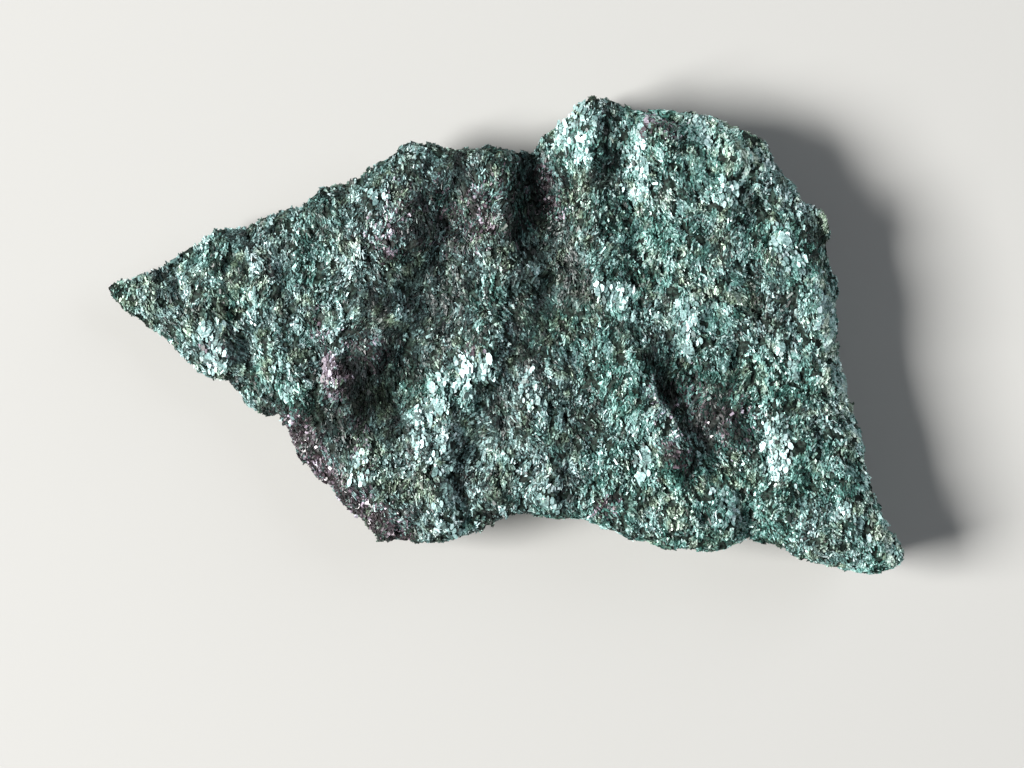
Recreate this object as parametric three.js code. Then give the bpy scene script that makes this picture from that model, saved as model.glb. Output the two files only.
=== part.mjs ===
// A hand-sized slab of ruby in fuchsite, lying on its flat cleavage face.
// It is one stone, so it is one closed solid: a broken upper face, ragged sides and a flat underside.
// Millimetres, +Z up, origin under the middle of the stone.
import * as THREE from 'three';
import { ConvexHull } from 'three/addons/math/ConvexHull.js';
import { ImprovedNoise } from 'three/addons/math/ImprovedNoise.js';

const { clamp, lerp, smoothstep, seededRandom } = THREE.MathUtils;

// Driving dimensions
const thinEnd = 6.8; // height of the upper face at the pointed left end
const thickEnd = 13.2; // height of the upper face at the broad right end
const thickenFrom = -42; // x where the slab starts to thicken
const thickenTo = 16; // x where it reaches its full thickness
const edgeFall = 1.9; // how far the upper face rolls down at its rim
const edgeFallWidth = 3.2; // how far in from the rim that roll starts
const undercut = 2.7; // how far the base lies inside the rim, on average
const undercutSpread = 4.4; // how much that differs from place to place
const chip = 0.3; // how far the top rim is broken back all round
const undersideRise = 2.3; // how far the underside lifts at its rim
const undersideStep = 0.4; // height of each ledge of the underside above the flat cleavage face
const restInset = 5.5; // how far in from the rim the flat cleavage face starts

// Distances between the mesh's points
const rimSpacing = 1.3;
const topSpacing = 1.22;
const undersideSpacing = 2.3;

// Outline seen from above, clockwise from the pointed left end
const outline = [
  [-48.2, 6.2], [-45.7, 6.9], [-41.3, 8.5], [-39.1, 10.4], [-36.1, 12.2], [-34.3, 13.7],
  [-31.1, 13.2], [-30.2, 14.1], [-27.7, 15.3], [-23.6, 16.1], [-21.8, 18.1], [-19.1, 18.7],
  [-16.1, 20.5], [-13.1, 21.8], [-11.2, 23.5], [-9.2, 23.6], [-5.8, 22.8], [-0.9, 22.6],
  [3.7, 22.5], [4.7, 24.3], [7.5, 25.9], [8.9, 27.0], [10.4, 28.5], [13.9, 28.3],
  [16.0, 27.0], [20.2, 27.0], [24.1, 26.7], [29.2, 24.7], [31.1, 23.4], [32.2, 21.4],
  [33.4, 19.8], [36.2, 16.5], [38.6, 15.1], [38.9, 12.9], [39.4, 9.0], [40.1, 6.2],
  [40.0, 3.2], [40.9, -4.7], [41.5, -7.2], [43.1, -11.5], [43.5, -14.2], [44.8, -19.0],
  [46.7, -22.8], [48.2, -25.8], [47.9, -27.1], [46.6, -28.2], [43.6, -28.5], [40.1, -28.0],
  [36.2, -26.9], [33.2, -25.3], [31.3, -24.5], [29.3, -24.4], [25.1, -25.8], [20.2, -25.6],
  [15.3, -24.3], [11.7, -22.6], [9.8, -22.0], [6.1, -21.9], [2.3, -21.4], [-0.1, -21.8],
  [-2.2, -23.2], [-4.5, -24.0], [-6.7, -24.8], [-10.6, -24.5], [-14.0, -24.5], [-15.5, -23.3],
  [-18.7, -21.0], [-20.8, -18.6], [-23.3, -15.9], [-24.8, -14.7], [-25.7, -11.5], [-26.9, -9.5],
  [-29.5, -9.2], [-32.1, -6.4], [-33.2, -5.3], [-35.5, -5.2], [-37.6, -3.6], [-39.8, -1.3],
  [-43.0, 1.2], [-46.6, 3.7],
];

// The sides slope in towards this line, which runs through the middle of the stone
const spine = [[-40, 4.5], [-24, 3.5], [-6, 0.5], [10, 2], [22, 0], [32, -9], [41, -22.5]];

// Loops of points down the side, from 0 at the top rim to 1 at the underside's rim
const sideDrops = [0, 0.16, 0.32, 0.5, 0.68, 0.85, 1];

// Places where the rim is broken off at a slant
const bevels = [
  { at: [14, 28], reach: 5, width: 1.3 },
  { at: [-8, 23.5], reach: 7, width: 0.6 },
  { at: [40, 8], reach: 9, width: 0.6 },
  { at: [41, -28], reach: 5, width: 0.5 },
  { at: [-32, 13.5], reach: 3, width: 0.6 },
];

// Ridges, scarps and valleys of the upper face: a crest line with its height,
// and how far the slope reaches on each side of it when walking along the line.
const folds = [
  { name: 'left crest', height: 2.3, left: 7.5, right: 13,
    path: [[-7.6, 25.5], [-9.0, 16.4], [-13.0, 10.7], [-15.6, 4.4], [-16.8, -1.6], [-20, -8.3], [-23, -14]] },
  { name: 'left trough', height: -1.5, left: 6, right: 4,
    path: [[-5.4, 24.5], [-6.6, 12.5], [-10.5, 5.5], [-11.6, -2.5], [-14.6, -9.5], [-17.5, -16.5]] },
  { name: 'middle ridge', height: 1.9, left: 5.5, right: 3.4,
    path: [[1.8, 4.4], [-1.2, -3.0], [-5.2, -8.8], [-8.0, -13.6], [-9.4, -24.6]] },
  { name: 'upper valley', height: -1.5, left: 6.5, right: 6.5,
    path: [[4.8, 22.0], [4.4, 14.6], [6.4, 6.2], [4.6, -2.4]] },
  { name: 'middle valley', height: -1.5, left: 4.5, right: 4.5,
    path: [[4.4, 1.6], [0.4, -5.0], [-3.2, -11.4], [-4.6, -18], [-5, -23]] },
  { name: 'notch scarp', height: 1.9, left: 1.3, right: 6,
    path: [[1.4, 27.9], [1.2, 17.6], [1.6, 9.0]] },
  { name: 'short rib', height: 1.0, left: 2.4, right: 2,
    path: [[2.6, -2.4], [3.1, -6.0], [4.6, -10.6]] },
  { name: 'centre rib', height: 0.9, left: 2.2, right: 3.4,
    path: [[8.2, 0.6], [6.8, -5.4], [6.0, -11.6], [6.4, -17.4]] },
  { name: 'peak ridge', height: 2.1, left: 2.6, right: 5.5,
    path: [[10.0, 32.0], [10.6, 22.4], [11.8, 16.4], [13.6, 6.2]] },
  { name: 'silky ridge', height: 1.5, left: 6, right: 3.6,
    path: [[17.2, 30.4], [19.0, 20.0], [20.0, 13.4], [20.8, 5.5]] },
  { name: 'right rib', height: 1.2, left: 1.6, right: 5,
    path: [[28.6, 28.0], [27.8, 17.6], [28.1, 12.2], [29.4, 6.0]] },
  { name: 'lower scarp', height: 2.5, left: 1.8, right: 9.5,
    path: [[12.6, 3.0], [16.4, -3.2], [18.4, -7.6], [22.6, -13.0], [25, -17]] },
  { name: 'lower valley', height: -1.8, left: 4, right: 3.4,
    path: [[20.8, -9.4], [26.3, -16.8], [29.1, -20.7], [33, -28.0]] },
  { name: 'right shoulder', height: 1.5, left: 6, right: 4,
    path: [[31.4, -4.0], [34.6, -12.4], [37.2, -20.0]] },
  { name: 'left step', height: 1.0, left: 1.6, right: 5,
    path: [[-33.6, 14.6], [-30.8, 10.2], [-28.0, 7.6], [-23.4, 4.6]] },
  { name: 'upper left step', height: 0.9, left: 4, right: 1.5,
    path: [[-24.4, 17.4], [-19.4, 11.6], [-16.2, 7.0]] },
];

// How a fold strays from its line, breaks up along its length and tapers off at both ends
const foldStray = [{ size: 3.6, reach: 0.9 }, { size: 1.8, reach: 0.5 }];
const foldBreaks = { size: 4.2, share: 0.6 };
const foldFullHeight = 0.85; // average share of its height that a fold keeps
const foldTaper = 0.22; // share of its length over which it rises from either end

// Lumps (height above 0) and hollows (below 0) of the upper face, with their two radii
const lumps = [
  { name: 'notch hollow', at: [4.8, 18.0], radii: [3.4, 6.6], height: -3.6 },
  { name: 'lower hollow', at: [22.0, -7.4], radii: [4.6, 6.4], height: -2.4 },
  { name: 'right hollow', at: [29.7, 5.4], radii: [2.1, 4.2], height: -1.5 },
  { name: 'corner hollow', at: [36.4, -19.4], radii: [2.6, 3.2], height: -1.3 },
  { name: 'left pit', at: [-30.2, -2.1], radii: [1.7, 2.1], height: -1.3 },
  { name: 'left hollow', at: [-31.4, 10.6], radii: [3.4, 2.4], height: -0.9 },
  { name: 'upper pit', at: [-18.2, 16.2], radii: [1.8, 1.8], height: -0.9 },
  { name: 'ruby knob', at: [-19.4, -4.4], radii: [2.1, 2.7], height: 1.5 },
  { name: 'knob crevice', at: [-21.7, -3.2], radii: [1.3, 2.6], height: -1.3 },
  { name: 'ruby boss', at: [20.4, -14.4], radii: [2.0, 1.8], height: 0.7 },
  { name: 'left edge lump', at: [-34.8, 0.4], radii: [3, 3.6], height: 1.1 },
  { name: 'left lump', at: [-29.6, 5.0], radii: [2.8, 2.6], height: 0.6 },
  { name: 'lower left lump', at: [-26.0, -5.2], radii: [4, 3], height: 0.8 },
  { name: 'upper left lump', at: [-14.0, 16.4], radii: [3, 2.6], height: 0.7 },
  { name: 'lower left boss', at: [-17.0, -14.2], radii: [2.6, 3.2], height: 0.8 },
  { name: 'bottom boss', at: [-6.2, -22.0], radii: [2.6, 2.0], height: 0.7 },
  { name: 'bottom lump', at: [5.5, -19.4], radii: [1.7, 2.4], height: 0.9 },
  { name: 'centre right lump', at: [22.8, 2.4], radii: [3.2, 4.6], height: 1.4 },
  { name: 'right lump', at: [34.0, 9.8], radii: [3.4, 4.0], height: 1.0 },
  { name: 'right edge lump', at: [37.0, 3.6], radii: [2.6, 3.4], height: 0.9 },
  { name: 'lower right lump', at: [26.8, -20.8], radii: [2.0, 3.4], height: 1.0 },
  { name: 'upper right lump', at: [34.2, -1.6], radii: [3.0, 3.0], height: 0.7 },
];
const lumpFoot = 1.5; // a lump fades out at this many of its radii

// Small broken relief of the upper face, finer each time. A squeeze above 1 narrows it along that axis,
// because the mica lies along Y and breaks into ribs that way.
const relief = [
  { pattern: ledges, size: 6.5, height: 0.9, squeeze: [1, 0.8], layer: 1 },
  { pattern: ledges, size: 3.3, height: 0.75, squeeze: [1.25, 0.7], layer: 2 },
  { pattern: noise, size: 1.9, height: 0.45, squeeze: [1.4, 0.8], layer: 3 },
];

const perlin = new ImprovedNoise();

// Smooth noise in about -1..1 whose lumps are `size` millimetres apart. `layer` picks another pattern,
// and the offsets keep the origin and whole layers off the noise's own grid, where it is always 0.
function noise(x, y, size, layer) {
  return perlin.noise(x / size + 7.3, y / size + 3.1, layer * 5.17 + 0.5);
}

// Noise of small flat treads and short steps, the way mica breaks along its layers
function ledges(x, y, size, layer) {
  const treads = 2.2; // on each side of 0
  const level = treads * noise(x, y, size, layer);
  const tread = Math.floor(level);
  return (tread + smoothstep(level - tread, 0.3, 0.7)) / treads;
}

// Distance from (x, y) to a polyline, the nearest point, how far along the line that is from 0 to 1,
// and whether (x, y) is on the line's left.
function nearest(x, y, path, closed = false) {
  let best = { distance: Infinity, left: false, at: path[0], along: 0 };
  const last = closed ? path.length : path.length - 1;
  for (let i = 0; i < last; i++) {
    const [ax, ay] = path[i];
    const [bx, by] = path[(i + 1) % path.length];
    const dx = bx - ax;
    const dy = by - ay;
    const t = clamp(((x - ax) * dx + (y - ay) * dy) / (dx * dx + dy * dy), 0, 1);
    const px = ax + t * dx;
    const py = ay + t * dy;
    const distance = Math.hypot(x - px, y - py);
    if (distance < best.distance) {
      best = { distance, left: dx * (y - ay) - dy * (x - ax) > 0, at: [px, py], along: (i + t) / last };
    }
  }
  return best;
}

function isInside(x, y, polygon) {
  let inside = false;
  for (let i = 0, j = polygon.length - 1; i < polygon.length; j = i++) {
    const [ax, ay] = polygon[i];
    const [bx, by] = polygon[j];
    if (ay > y !== by > y && x < ax + ((y - ay) * (bx - ax)) / (by - ay)) inside = !inside;
  }
  return inside;
}

// 1 at distance 0, falling smoothly to 0 at distance `reach`
const fade = (distance, reach) => 1 - smoothstep(distance / reach, 0, 1);

function foldHeight(x, y, fold) {
  const stray = foldStray.reduce((sum, s, i) => sum + s.reach * noise(x, y, s.size, 8 + i), 0);
  const near = nearest(x + stray, y - stray, fold.path);
  const kept = foldFullHeight + foldBreaks.share * noise(near.at[0], near.at[1], foldBreaks.size, 15);
  const taper = smoothstep(Math.min(near.along, 1 - near.along), 0, foldTaper);
  return fold.height * kept * taper * fade(near.distance, near.left ? fold.left : fold.right);
}

function lumpHeight(x, y, lump) {
  const away = Math.hypot((x - lump.at[0]) / lump.radii[0], (y - lump.at[1]) / lump.radii[1]);
  return lump.height * fade(away, lumpFoot);
}

function topHeight(x, y) {
  let z = lerp(thinEnd, thickEnd, smoothstep(x, thickenFrom, thickenTo));
  for (const fold of folds) z += foldHeight(x, y, fold);
  for (const lump of lumps) z += lumpHeight(x, y, lump);
  for (const { pattern, size, height, squeeze, layer } of relief) {
    z += height * pattern(x * squeeze[0], y * squeeze[1], size, layer);
  }
  return z - edgeFall * fade(nearest(x, y, outline, true).distance, edgeFallWidth);
}

// Height of the underside: flat on the cleavage face, with a few sheets of mica split off from it,
// then lifting in ledges towards the rim.
function undersideHeight(x, y, rim) {
  const inward = nearest(x, y, rim, true).distance + 2.4 * noise(x, y, 11, 4);
  const sheets = noise(x, y * 0.7, 13, 50) + 0.25 * noise(x, y, 4, 51);
  const split = undersideStep * ((sheets > 0.14) + (sheets > 0.27));
  if (inward > restInset) return split;
  const lift = undersideRise * fade(Math.max(inward, 0), restInset);
  return undersideStep + split + lift * (0.75 + 0.5 * ledges(x, y, 5, 5));
}

// Points every `spacing` along the closed outline, nudged in and out to make it ragged
function raggedOutline(spacing) {
  const points = [];
  outline.forEach(([ax, ay], i) => {
    const [bx, by] = outline[(i + 1) % outline.length];
    const length = Math.hypot(bx - ax, by - ay);
    const count = Math.max(1, Math.round(length / spacing));
    for (let step = 0; step < count; step++) {
      const x = lerp(ax, bx, step / count);
      const y = lerp(ay, by, step / count);
      const nudge = step === 0 ? 0 : 0.28 * noise(x, y, 1.7, 6);
      points.push([x - (nudge * (by - ay)) / length, y + (nudge * (bx - ax)) / length]);
    }
  });
  return points.reverse(); // counter-clockwise from above
}

// The outline moved in towards the spine, by the distance that `inset` gives for each point
function insetLoop(loop, inset) {
  return loop.map(([x, y]) => {
    const { at, distance } = nearest(x, y, spine);
    const most = 0.45 * distance; // so that thin ends don't close up
    const share = clamp(inset(x, y), 0, most) / distance;
    return [lerp(x, at[0], share), lerp(y, at[1], share)];
  });
}

// Points of a loose triangular grid inside a loop, kept `margin` away from it
function scatter(loop, spacing, margin) {
  const points = [];
  const rowHeight = spacing * Math.sqrt(0.75);
  const rows = Math.ceil(30 / rowHeight); // the outline lies within 30 mm of the x axis
  const columns = Math.ceil(50 / spacing); // and within 50 mm of the y axis
  const jitter = () => 0.42 * spacing * (seededRandom() - 0.5);
  for (let row = -rows; row <= rows; row++) {
    for (let column = -columns; column <= columns; column++) {
      const x = (column + (row % 2) / 2) * spacing + jitter();
      const y = row * rowHeight + jitter();
      if (isInside(x, y, loop) && nearest(x, y, loop, true).distance > margin) points.push([x, y]);
    }
  }
  return points;
}

// Delaunay triangles of flat points, as the lower side of the convex hull of the points lifted to a bowl
function triangulate(points, loop) {
  const bowl = 50; // only sets how deep the bowl is
  const lifted = points.map(([x, y], index) => {
    const point = new THREE.Vector3(x, y, (x * x + y * y) / bowl);
    point.index = index;
    return point;
  });
  const triangles = [];
  for (const face of new ConvexHull().setFromPoints(lifted).faces) {
    if (face.normal.z >= 0) continue;
    const corners = [face.getEdge(0), face.getEdge(1), face.getEdge(2)].map((edge) => edge.head().point);
    const x = (corners[0].x + corners[1].x + corners[2].x) / 3;
    const y = (corners[0].y + corners[1].y + corners[2].y) / 3;
    if (isInside(x, y, loop)) triangles.push(corners.map((corner) => corner.index));
  }
  return triangles; // clockwise from above
}

// How far each loop of the side lies in from the outline. The top rim is chipped and broken at the bevels,
// the loop below it is the outline itself, and each further one is a broken layer of the schist, which
// stands in or out on its own while the whole side leans in towards the base.
function sideInset(level) {
  if (level === 0) {
    return (x, y) => {
      const width = (b) => b.width * fade(Math.hypot(x - b.at[0], y - b.at[1]), b.reach);
      return bevels.reduce((sum, bevel) => sum + width(bevel), chip) + 0.35 * noise(x, y, 5, 40);
    };
  }
  if (level === 1) return () => 0;
  return (x, y) => {
    const lean = (undercut + undercutSpread * noise(x, y, 12, 10)) * sideDrops[level] ** 1.5;
    const layers = 1.5 * ledges(x, y, 5.5, 11 + level) + 0.6 * noise(x, y, 2.4, 30 + level);
    return 0.7 + lean + layers;
  };
}

function sideLoops(rim) {
  const last = sideDrops.length - 1;
  const loops = sideDrops.map((_, level) => insetLoop(rim, sideInset(level)));
  const top = loops[0].map(([x, y]) => topHeight(x, y));
  const base = loops[last].map(([x, y]) => undersideHeight(x, y, loops[last]));
  return loops.map((loop, level) =>
    loop.map(([x, y], i) => {
      const isInner = level > 0 && level < last;
      const waver = isInner ? 0.06 * noise(x * 1.3, y * 1.3, 4, 20 + level) : 0;
      return [x, y, lerp(top[i], base[i], sideDrops[level] + waver)];
    }),
  );
}

// Triangles between the loops of the side, with their diagonals turned about
function sideTriangles(levels, count) {
  const triangles = [];
  for (let level = 0; level < levels - 1; level++) {
    for (let i = 0; i < count; i++) {
      const upper = level * count + i;
      const upperNext = level * count + ((i + 1) % count);
      const lower = upper + count;
      const lowerNext = upperNext + count;
      if ((i + level) % 2) triangles.push([upper, lower, upperNext], [upperNext, lower, lowerNext]);
      else triangles.push([upper, lower, lowerNext], [upper, lowerNext, upperNext]);
    }
  }
  return triangles;
}

// Fills one side loop with a sheet. `rimStart` is the index of the loop's first vertex.
function addSheet(stone, loop, rimStart, spacing, margin, height, isTop) {
  const inner = scatter(loop, spacing, margin);
  const innerStart = stone.vertices.length;
  stone.vertices.push(...inner.map(([x, y]) => [x, y, height(x, y)]));
  const vertex = (i) => (i < loop.length ? rimStart + i : innerStart + i - loop.length);
  for (const [a, b, c] of triangulate([...loop, ...inner], loop)) {
    stone.triangles.push(isTop ? [vertex(a), vertex(c), vertex(b)] : [vertex(a), vertex(b), vertex(c)]);
  }
}

function stoneGeometry() {
  seededRandom(11);
  const loops = sideLoops(raggedOutline(rimSpacing));
  const count = loops[0].length;
  const topRim = loops[0];
  const underRim = loops[loops.length - 1];
  const stone = { vertices: loops.flat(), triangles: sideTriangles(loops.length, count) };
  addSheet(stone, topRim, 0, topSpacing, 0.75 * topSpacing, topHeight, true);
  const underStart = (loops.length - 1) * count;
  const underHeight = (x, y) => undersideHeight(x, y, underRim);
  addSheet(stone, underRim, underStart, undersideSpacing, 0.6 * rimSpacing, underHeight, false);

  const geometry = new THREE.BufferGeometry();
  geometry.setAttribute('position', new THREE.Float32BufferAttribute(stone.vertices.flat(), 3));
  geometry.setIndex(stone.triangles.flat());
  geometry.computeVertexNormals();
  return geometry;
}

// Puts the origin under the middle of the stone, on the plane that it rests on
function centreOverBase(geometry) {
  geometry.computeBoundingBox();
  const { min, max } = geometry.boundingBox;
  return geometry.translate(-(min.x + max.x) / 2, -(min.y + max.y) / 2, -min.z);
}

const fuchsite = new THREE.MeshStandardMaterial({ color: 0x4f7266, roughness: 0.5, metalness: 0 });
fuchsite.name = 'fuchsite_schist';

const stone = new THREE.Mesh(centreOverBase(stoneGeometry()), fuchsite);
stone.name = 'ruby_fuchsite_stone';

const specimen = new THREE.Group();
specimen.add(stone);

export default specimen;
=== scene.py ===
# Ruby in fuchsite: a rough hand specimen of green mica schist, seen from above in light from the left.
import math

import bmesh
import bpy
import numpy as np
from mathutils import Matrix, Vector, kdtree, noise


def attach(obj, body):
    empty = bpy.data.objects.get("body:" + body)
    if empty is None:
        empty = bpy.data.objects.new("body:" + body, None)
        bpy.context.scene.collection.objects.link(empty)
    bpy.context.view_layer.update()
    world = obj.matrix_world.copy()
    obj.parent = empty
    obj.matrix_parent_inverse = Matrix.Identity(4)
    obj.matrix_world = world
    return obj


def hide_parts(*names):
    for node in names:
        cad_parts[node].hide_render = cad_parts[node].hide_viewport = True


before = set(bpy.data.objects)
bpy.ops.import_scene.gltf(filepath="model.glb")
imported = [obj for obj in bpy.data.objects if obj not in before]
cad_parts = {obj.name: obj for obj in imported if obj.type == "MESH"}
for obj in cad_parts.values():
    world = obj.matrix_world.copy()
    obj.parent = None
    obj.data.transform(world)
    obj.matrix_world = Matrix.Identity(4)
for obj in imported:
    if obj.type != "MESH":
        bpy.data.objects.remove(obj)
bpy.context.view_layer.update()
mm = 0.001
stoneNode = "ruby_fuchsite_stone"
draw = np.random.default_rng(20)

# What differs from place to place is laid on in streaks. Each streak is its two ends in mm on the plan, its
# reach to either side in mm and its strength.

# Where the mica is silvery: its flakes lean towards the light with a painted sheen, and pale scales lie on it
silvery = [
    (16.8, 23.8, 16.0, 17.6, 1.1, 0.9), (8.4, 25.6, 9.4, 22.2, 2.0, 0.9),
    (-3.2, -3.8, -5.0, -6.4, 1.6, 1.0), (-6.2, -6.0, -8.8, -9.6, 1.3, 1.0),
    (-9.4, -11.6, -9.9, -13.4, 0.7, 0.85), (2.9, -4.6, 3.5, -7.4, 1.2, 1.0),
    (22.2, 3.2, 22.9, 0.4, 1.9, 1.0), (-21.1, -2.6, -20.5, -5.4, 0.5, 1.0),
    (33.0, -10.8, 33.2, -14.8, 1.9, 1.0), (33.4, 10.8, 34.6, 8.6, 1.9, 0.9),
    (37.6, 5.0, 37.8, 2.0, 0.8, 0.8), (12.2, 6.6, 14.2, 4.6, 1.5, 0.95),
    (26.6, -19.2, 27.2, -22.2, 0.8, 0.7), (16.8, -14.2, 17.0, -15.4, 0.7, 0.85),
    (5.4, -18.6, 5.8, -20.4, 0.8, 0.8), (-7.2, -22.4, -5.0, -22.8, 0.8, 0.7),
    (-35.0, 0.6, -34.4, -2.6, 1.3, 0.95), (-30.2, 5.4, -29.0, 4.0, 1.0, 0.5),
    (-26.8, -4.4, -25.4, -6.0, 1.2, 0.55), (-17.2, -14.4, -16.8, -16.6, 1.1, 0.6),
    (-14.8, 16.6, -13.8, 15.4, 1.3, 0.5), (27.2, 17.4, 27.6, 15.8, 1.1, 0.6),
    (40.5, -20.0, 44.0, -24.0, 1.0, 0.5), (-6.9, -12.0, -6.8, -20.0, 0.6, 0.7),
    (23.0, 25.0, 24.6, 23.6, 1.0, 0.6), (33.6, -2.0, 34.4, -5.0, 0.9, 0.6),
]

# Where ruby shows
rubies = [
    (-20.4, -2.8, -19.6, -5.6, 1.5, 0.75), (-17.8, -0.8, -14.6, -2.4, 2.0, 0.32),
    (4.8, 19.0, 6.0, 15.6, 1.8, 0.5), (-12.0, 13.0, 3.0, 16.0, 5.0, 0.22),
    (-25.6, -10.6, -20.4, -18.4, 2.6, 0.6), (-20.4, -18.4, -12.4, -23.6, 2.2, 0.6),
    (-18.0, -9.0, -16.6, -14.0, 2.0, 0.25), (21.0, -7.6, 27.4, -10.4, 3.4, 0.3),
    (19.8, -13.0, 21.4, -15.0, 1.5, 0.45), (17.4, 25.2, 19.8, 24.4, 1.5, 0.4),
    (12.4, -20.2, 12.4, -20.6, 0.7, 0.55), (-3.2, -1.8, -3.2, -2.2, 0.7, 0.5),
    (-22.4, 1.6, -21.8, 0.6, 1.2, 0.45), (-35.0, -1.0, -34.0, -2.6, 1.4, 0.25),
    (-3.4, 17.0, -2.2, 13.4, 1.6, 0.5), (-14.0, 13.6, -13.2, 10.4, 1.3, 0.45),
]

# Where the mica is a yellower green
olives = [
    (-46.0, 5.8, -37.0, 6.4, 3.0, 0.5), (-35.4, 6.0, -31.4, 4.8, 2.6, 1.0),
    (-28.4, -0.6, -24.4, -1.8, 1.3, 0.8), (-17.0, -7.6, -12.4, -16.6, 3.6, 1.3),
    (-7.6, -2.4, -7.2, -3.4, 1.4, 0.8), (8.2, -9.4, 8.6, -13.4, 1.3, 0.8),
    (9.4, 16.0, 10.6, 14.4, 1.9, 1.0), (22.6, 26.0, 28.0, 22.4, 3.0, 0.9),
    (36.8, -2.0, 40.4, -8.6, 2.0, 1.0), (18.4, -19.6, 22.0, -20.6, 2.4, 1.0),
    (23.6, -17.4, 28.0, -15.6, 1.9, 0.9), (37.6, 13.6, 38.2, 10.4, 1.7, 0.9),
    (4.0, -3.0, 7.0, -8.0, 1.8, 0.5), (-13.4, 7.4, -8.0, 8.0, 1.6, 0.8),
    (18.4, 7.4, 24.0, 8.4, 1.5, 0.4), (29.0, 17.4, 31.6, 14.8, 2.0, 0.7),
    (44.4, -17.0, 46.4, -24.0, 2.4, 0.5), (2.0, 8.0, 5.0, 2.0, 2.2, 0.5),
]

# Where the mica is a purer, deeper green
emeralds = [
    (-33.0, 3.6, -29.0, 5.0, 2.6, 0.5), (-27.0, -5.0, -23.0, -8.4, 2.2, 0.5),
    (-24.4, 7.6, -19.4, 9.4, 2.2, 0.4), (14.4, 22.0, 25.0, 21.6, 5.0, 0.35),
    (19.4, 10.4, 26.0, 6.4, 3.6, 0.3), (32.0, 11.4, 36.4, 8.4, 2.4, 0.6),
    (-2.0, 5.6, -2.6, -5.6, 2.2, 0.3), (-8.4, -6.4, -5.0, -15.0, 3.0, 0.25),
    (12.0, -5.0, 13.0, -14.0, 3.6, 0.12), (21.4, -19.0, 31.0, -20.6, 4.0, 0.35),
    (30.4, -5.4, 38.4, -15.0, 5.0, 0.35), (-15.0, -14.6, -11.4, -18.0, 2.4, 0.35),
    (40.0, -20.0, 46.0, -26.4, 3.4, 0.3), (-46.0, 5.4, -45.0, 5.0, 1.4, 0.6),
    (24.0, 0.0, 22.0, -3.4, 3.0, 0.3),
]
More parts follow.
